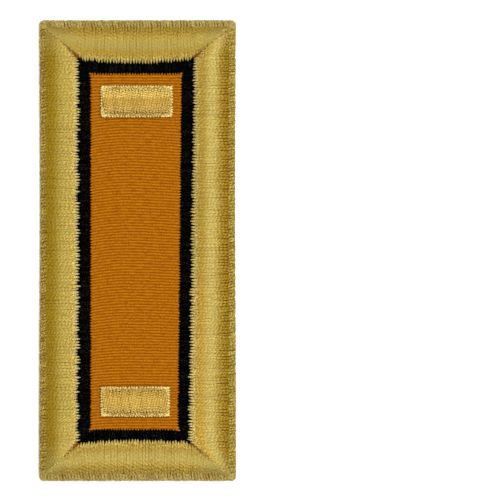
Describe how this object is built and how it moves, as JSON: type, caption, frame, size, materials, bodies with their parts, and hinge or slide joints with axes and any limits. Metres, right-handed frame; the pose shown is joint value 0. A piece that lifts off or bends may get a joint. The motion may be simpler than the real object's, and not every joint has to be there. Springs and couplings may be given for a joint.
{
  "type": "shoulder board",
  "caption": "Flat rectangular shoulder board with a padded gold border, a black inner line, a ribbed orange field and raised rank bars.",
  "frame": {"origin": "middle of the back face, where the board lies on a surface", "axes": "+Y along the board's length towards its top end, +Z out of its face, +X across to its right side as seen from the face"},
  "size_m": [0.0434, 0.1016, 0.004],
  "materials": {
    "felt": "black wool felt over a stiff board",
    "gold_thread": "old-gold rayon satin stitch",
    "bar_thread": "bright gold rayon satin stitch",
    "black_thread": "black rayon satin stitch",
    "ribbon": "orange ribbed ribbon"
  },
  "bodies": {
    "root": {"backing": "felt", "edge_rim": "gold_thread", "border_top": "gold_thread", "border_right": "gold_thread", "border_bottom": "gold_thread", "border_left": "gold_thread", "inner_line": "black_thread", "field": "ribbon", "bar_top_rim": "bar_thread", "bar_top_fill": "bar_thread", "bar_bottom_rim": "bar_thread", "bar_bottom_fill": "bar_thread"}
  },
  "joints": []
}
